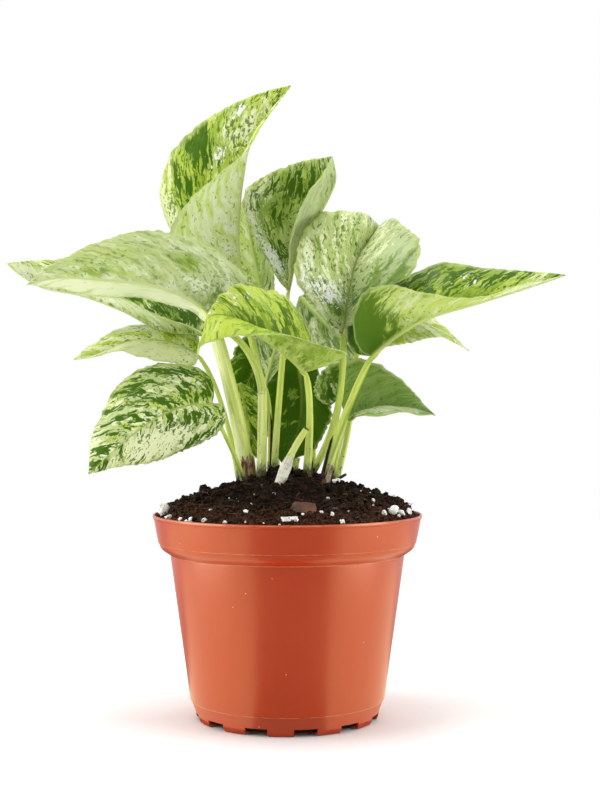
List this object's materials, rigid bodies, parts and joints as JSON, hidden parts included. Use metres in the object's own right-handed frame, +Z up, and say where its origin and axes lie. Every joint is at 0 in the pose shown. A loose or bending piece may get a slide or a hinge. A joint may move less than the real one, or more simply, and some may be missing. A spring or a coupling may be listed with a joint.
{
  "type": "potted pothos plant",
  "caption": "Variegated pothos with heart-shaped marbled leaves on upright stalks, growing from dark soil in a round tapered plastic nursery pot; a live plant for a table or shelf.",
  "frame": {"origin": "middle of the pot's flat underside", "axes": "+Z up along the pot's axis, +X to the right as seen from the front, the front faces -Y"},
  "size_m": [0.3185, 0.152, 0.355],
  "materials": {
    "pot": "satin moulded terracotta-coloured polypropylene",
    "soil": "damp peat and bark potting mix with white mineral grains",
    "stalk": "smooth pale green living stalk",
    "stub": "dry cream cut stalk",
    "leaf": "waxy leaf, dark green marbled with lime, cream and white"
  },
  "bodies": {
    "root": {"pot": "pot", "soil": "soil", "stem_twin": "stalk", "petiole_upper": "stalk", "petiole_cupped": "stalk", "petiole_long_right": "stalk", "petiole_drooping": "stalk", "petiole_low_right": "stalk", "petiole_small": "stalk", "petiole_broad_left": "stalk", "petiole_lime_left": "stalk", "petiole_hanging_left": "stalk", "petiole_arched_front": "stalk", "petiole_back_upper": "stalk", "petiole_back_middle": "stalk", "petiole_back_hanging": "stalk", "petiole_back_dark": "stalk", "petiole_narrow": "stalk", "petiole_back_upright": "stalk", "stub_tall": "stub", "stub_short": "stub", "blade_tall": "leaf", "blade_upper": "leaf", "blade_cupped": "leaf", "blade_long_right": "leaf", "blade_drooping": "leaf", "blade_low_right": "leaf", "blade_small": "leaf", "blade_broad_left": "leaf", "blade_trough_left": "leaf", "blade_lime_left": "leaf", "blade_hanging_left": "leaf", "blade_arched_front": "leaf", "blade_back_upper": "leaf", "blade_back_middle": "leaf", "blade_back_hanging": "leaf", "blade_back_dark": "leaf", "blade_narrow": "leaf", "blade_back_upright": "leaf"}
  },
  "joints": []
}
